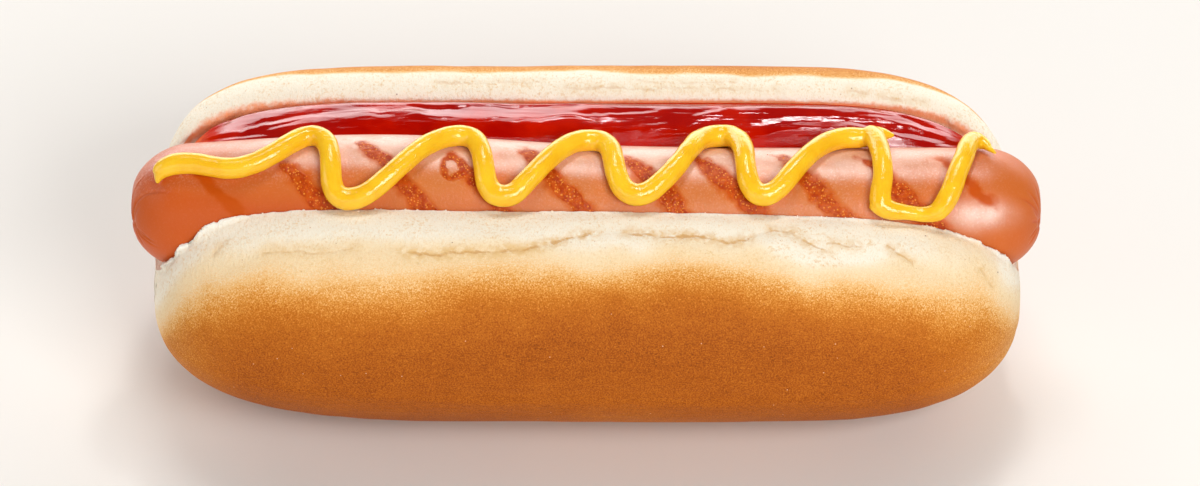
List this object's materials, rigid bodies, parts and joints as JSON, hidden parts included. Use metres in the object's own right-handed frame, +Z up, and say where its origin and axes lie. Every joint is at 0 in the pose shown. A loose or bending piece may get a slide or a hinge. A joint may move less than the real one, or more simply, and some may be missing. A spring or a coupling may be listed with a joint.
{
  "type": "hot dog",
  "caption": "Grilled sausage in a soft bun cut along its top, with a line of ketchup at the back and a zigzag of mustard.",
  "frame": {"origin": "middle of the bun's flat underside, below the middle of the sausage", "axes": "+X along the bun and the sausage, +Y towards the back of the bun, where the ketchup lies, +Z up"},
  "size_m": [0.1646, 0.0717, 0.0555],
  "materials": {
    "bun_bread": "soft matt bread skin, golden brown below and cream along the cut",
    "sausage_skin": "moist grilled skin with burnt stripes",
    "ketchup_sauce": "wet gloss",
    "mustard_sauce": "wet gloss"
  },
  "bodies": {
    "root": {"bun": "bun_bread", "sausage": "sausage_skin", "ketchup": "ketchup_sauce", "mustard": "mustard_sauce"}
  },
  "joints": []
}
